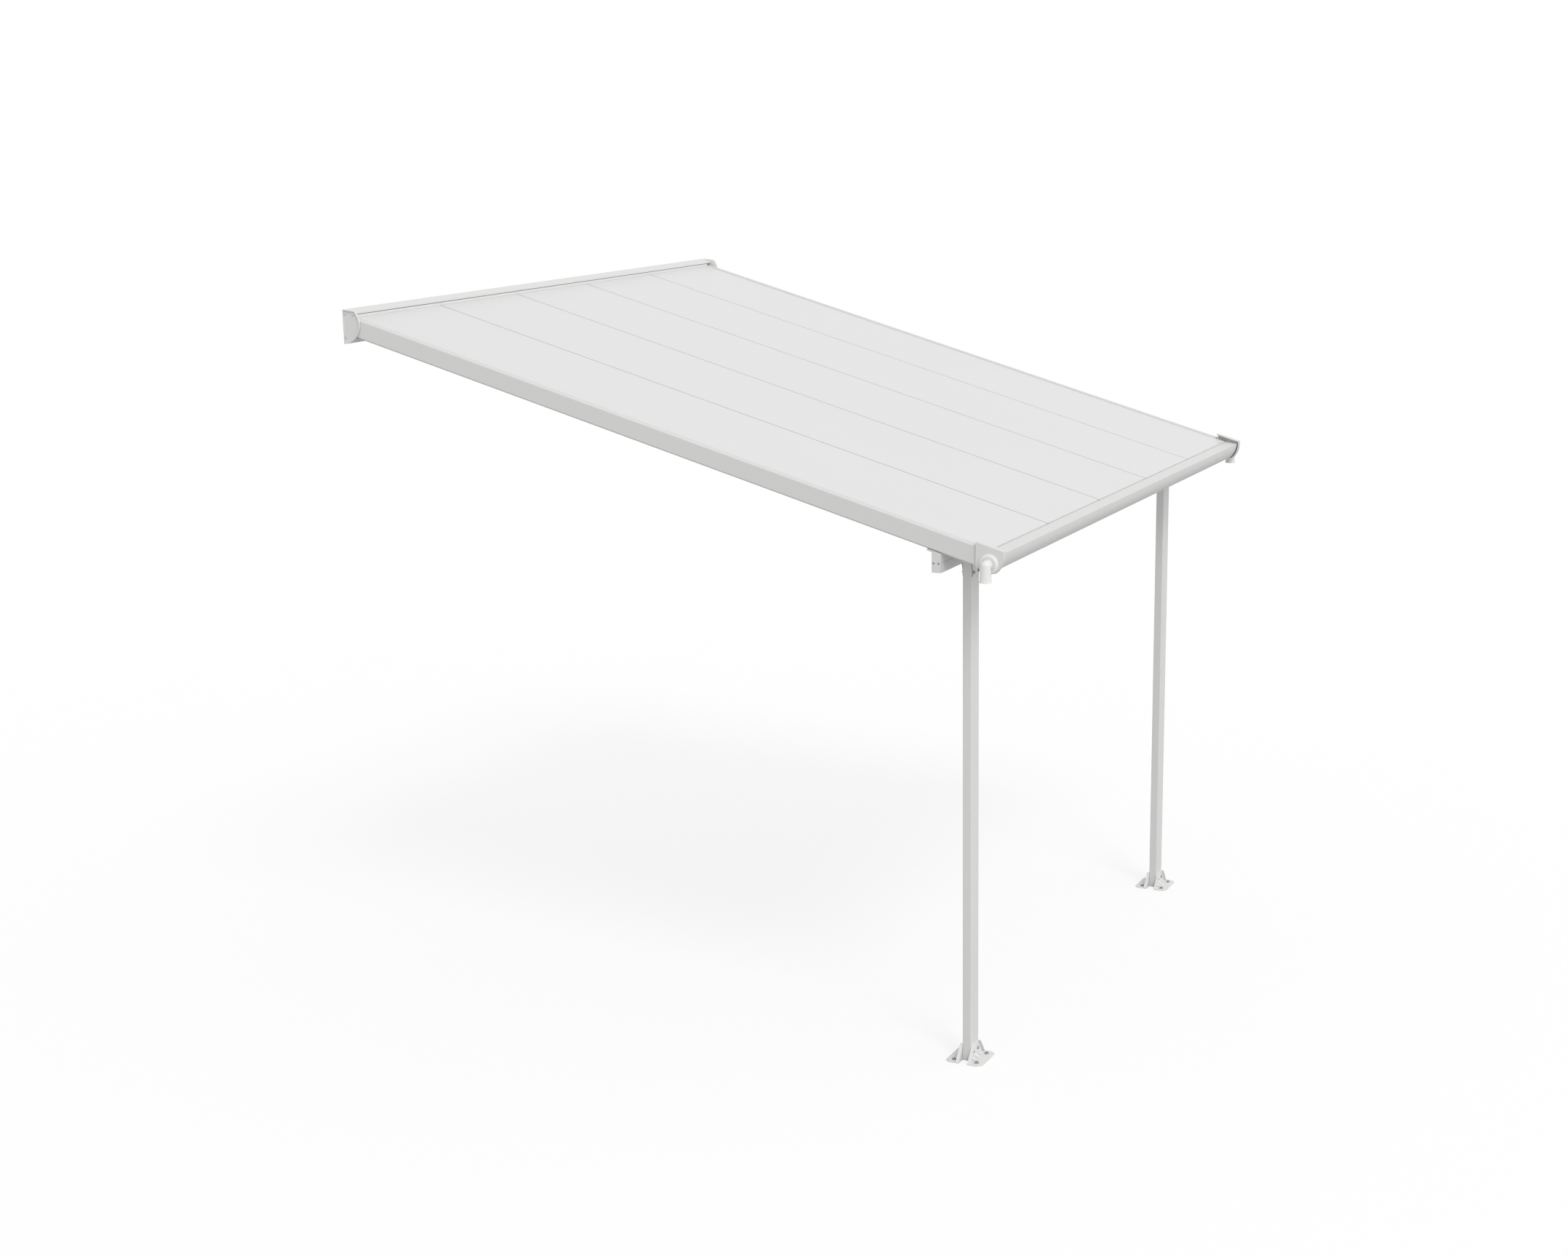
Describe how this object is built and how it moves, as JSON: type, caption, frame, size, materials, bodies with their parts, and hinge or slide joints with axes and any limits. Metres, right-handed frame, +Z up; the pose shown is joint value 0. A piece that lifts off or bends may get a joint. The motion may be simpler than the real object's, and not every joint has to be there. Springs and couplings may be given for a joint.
{
  "type": "attached patio cover",
  "caption": "White attached patio cover: five multiwall panels on rafters from a wall profile to a front gutter, with a beam on two posts.",
  "frame": {"origin": "middle of the wall profile's flat back face, half way along the wall", "axes": "+X along the wall, +Y into the wall, +Z up; the posts stand at -Y"},
  "size_m": [3.2398, 2.987, 3.039],
  "materials": {
    "coat": "white powder-coated aluminium, satin",
    "sheet": "opal white multiwall polycarbonate",
    "moulding": "white moulded plastic, satin",
    "gasket": "dark grey sealing strip"
  },
  "bodies": {
    "root": {"wall_profile": "coat", "wall_cover": "coat", "closure_strip": "moulding", "wall_cap_left": "moulding", "wall_cap_right": "moulding", "roof_panel_1": "sheet", "roof_panel_2": "sheet", "roof_panel_3": "sheet", "roof_panel_4": "sheet", "roof_panel_5": "sheet", "rafter_1": "coat", "rafter_2": "coat", "rafter_3": "coat", "rafter_4": "coat", "joint_seal_1": "gasket", "joint_seal_2": "gasket", "joint_seal_3": "gasket", "joint_seal_4": "gasket", "side_profile_left": "coat", "side_profile_right": "coat", "gutter": "coat", "gutter_cap_left": "moulding", "gutter_cap_right": "moulding", "outlet_flange_left": "moulding", "outlet_flange_right": "moulding", "outlet_elbow_left": "moulding", "outlet_elbow_right": "moulding", "support_beam": "coat", "beam_cap_left": "moulding", "beam_cap_right": "moulding", "post_left": "coat", "post_right": "coat", "top_plate_front_left": "coat", "top_plate_back_left": "coat", "top_plate_front_right": "coat", "top_plate_back_right": "coat", "foot_front_left": "coat", "foot_back_left": "coat", "foot_front_right": "coat", "foot_back_right": "coat"}
  },
  "joints": []
}
